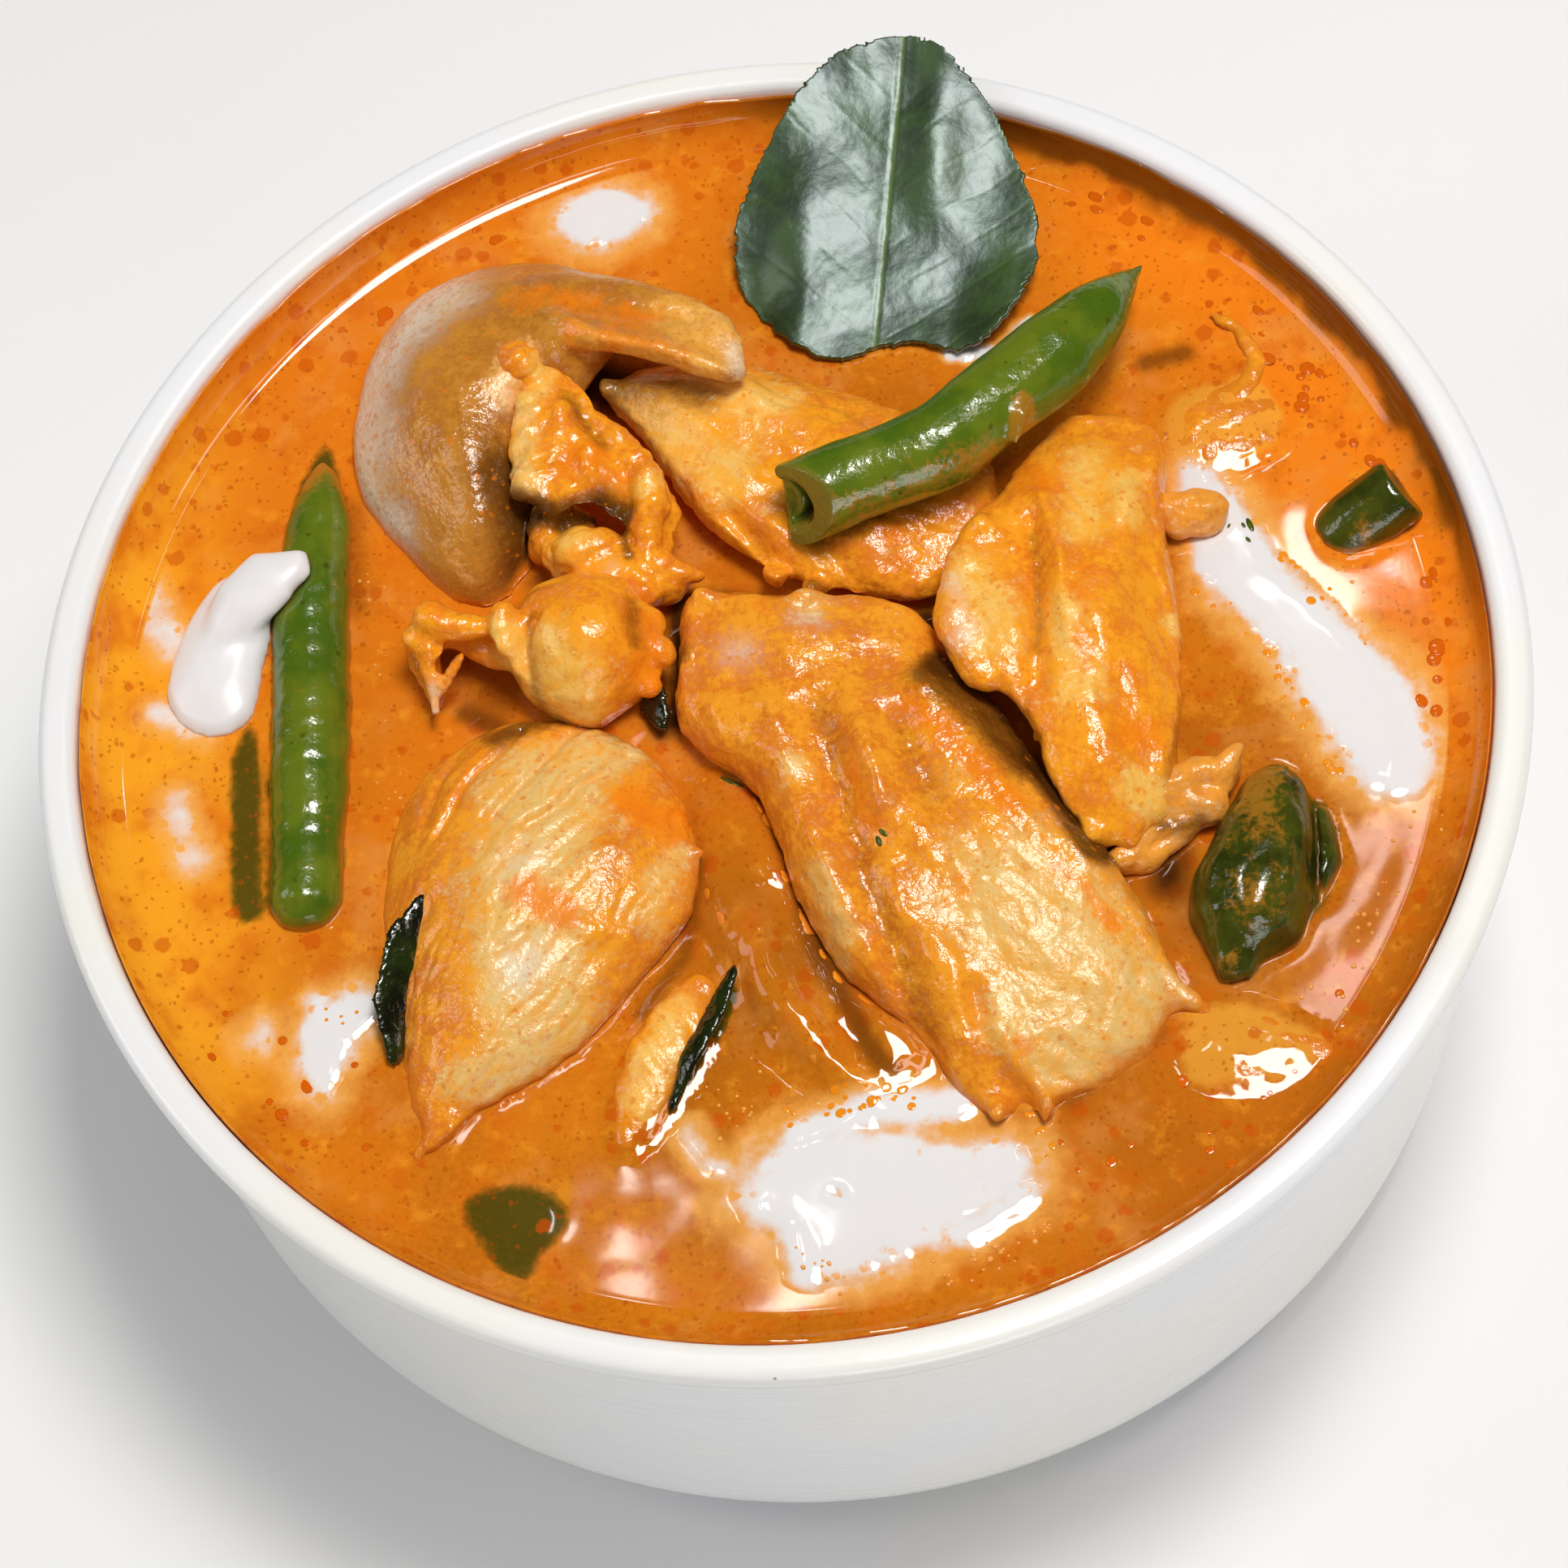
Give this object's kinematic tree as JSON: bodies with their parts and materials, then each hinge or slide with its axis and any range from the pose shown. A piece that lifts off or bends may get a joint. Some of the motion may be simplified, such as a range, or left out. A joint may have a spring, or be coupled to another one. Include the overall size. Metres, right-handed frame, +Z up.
{
  "type": "bowl of panang curry",
  "caption": "Round white bowl filled with orange coconut curry, with sliced chicken, green beans, chilli, a lime leaf and swirls of coconut cream",
  "frame": {"origin": "centre of the bowl's flat foot, on the surface it stands on", "axes": "+Z up, -Y towards the near side of the bowl, +X to the right"},
  "size_m": [0.16, 0.16, 0.0752],
  "materials": {
    "bowl": "white glaze, satin to gloss",
    "curry": "thick oily sauce, orange with red oil and dark specks",
    "chicken": "cooked chicken, wet with sauce",
    "sauced_chicken": "chicken under a coat of sauce",
    "green_bean": "cooked green bean, wet",
    "green_chilli": "cooked green chilli, wet",
    "lime_leaf": "dark leaf with a waxy sheen",
    "cream": "coconut cream, glossy"
  },
  "bodies": {
    "root": {"bowl": "bowl", "curry": "curry", "chicken_fold": "chicken", "chicken_crinkle": "chicken", "chicken_lump": "chicken", "chicken_back": "chicken", "chicken_left": "chicken", "chicken_centre": "chicken", "chicken_right": "chicken", "chicken_nub": "chicken", "chicken_shreds": "chicken", "chicken_under": "sauced_chicken", "chicken_strip": "sauced_chicken", "chicken_flake_right": "sauced_chicken", "chicken_flake_back": "sauced_chicken", "bean_top": "green_bean", "bean_left": "green_bean", "bean_left_thin": "green_bean", "bean_right": "green_bean", "bean_sunk": "green_bean", "chilli_right": "green_chilli", "chilli_right_back": "green_chilli", "lime_leaf": "lime_leaf", "leaf_left": "lime_leaf", "leaf_front": "lime_leaf", "leaf_middle": "lime_leaf", "cream_dollop": "cream", "cream_right": "cream", "cream_front": "cream", "cream_back": "cream", "cream_smear": "cream"}
  },
  "joints": []
}
